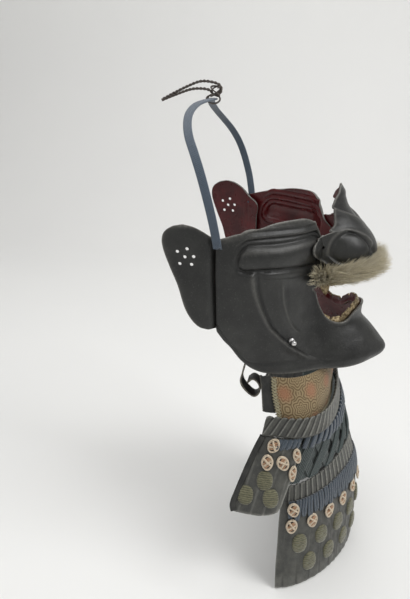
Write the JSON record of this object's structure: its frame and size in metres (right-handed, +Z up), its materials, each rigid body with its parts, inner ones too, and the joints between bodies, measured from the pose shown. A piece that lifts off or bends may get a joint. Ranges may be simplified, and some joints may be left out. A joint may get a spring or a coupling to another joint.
{
  "type": "samurai face guard",
  "caption": "Iron half mask with a moustache, brass teeth and a throat guard of laced leather lames, on a flat braided strap.",
  "frame": {"origin": "the middle of the wearer's head, level with and midway between the two strap slots beside the ears", "axes": "+Z up, the wearer faces -Y, the wearer's right is -X"},
  "size_m": [0.18, 0.1727, 0.3652],
  "materials": {
    "iron": "satin, dark patinated iron",
    "steel_pin": "bright",
    "brass": "aged",
    "hair": "coarse bristle",
    "printed_leather": "matte, stencilled",
    "lacquered_leather": "satin lacquer",
    "black_leather": "matte",
    "blue_lacing": "flat silk braid",
    "pale_braid": "round silk braid",
    "strap_braid": "flat woven braid",
    "black_wire": "twisted, coated"
  },
  "bodies": {
    "root": {"mask_plate": "iron", "nose_piece": "iron", "ear_plate_right": "iron", "ear_plate_left": "iron", "jaw_stud_right": "steel_pin", "jaw_stud_left": "steel_pin", "lower_teeth": "brass", "upper_teeth": "brass", "moustache": "hair", "throat_panel": "printed_leather", "upper_lame": "lacquered_leather", "hanging_lacing": "blue_lacing", "front_lame": "lacquered_leather", "front_lacing": "blue_lacing", "side_lame_right": "lacquered_leather", "side_lame_left": "lacquered_leather", "side_lacing_right": "blue_lacing", "side_lacing_left": "blue_lacing", "edging_right": "black_leather", "edging_left": "black_leather", "edging_curl": "black_leather", "strap": "strap_braid", "wire_tie": "black_wire", "front_knot_1": "pale_braid", "front_knot_2": "pale_braid", "front_knot_3": "pale_braid", "front_knot_4": "pale_braid", "front_knot_5": "pale_braid", "front_knot_6": "pale_braid", "front_knot_7": "pale_braid", "front_knot_8": "pale_braid", "front_knot_9": "pale_braid", "front_knot_10": "pale_braid", "front_knot_11": "pale_braid", "end_knot_1": "pale_braid", "end_knot_2": "pale_braid", "side_knot_1_right": "pale_braid", "side_knot_1_left": "pale_braid", "side_knot_2_right": "pale_braid", "side_knot_2_left": "pale_braid", "side_knot_3_right": "pale_braid", "side_knot_3_left": "pale_braid", "side_knot_4_right": "pale_braid", "side_knot_4_left": "pale_braid", "side_knot_5_right": "pale_braid", "side_knot_5_left": "pale_braid"}
  },
  "joints": []
}
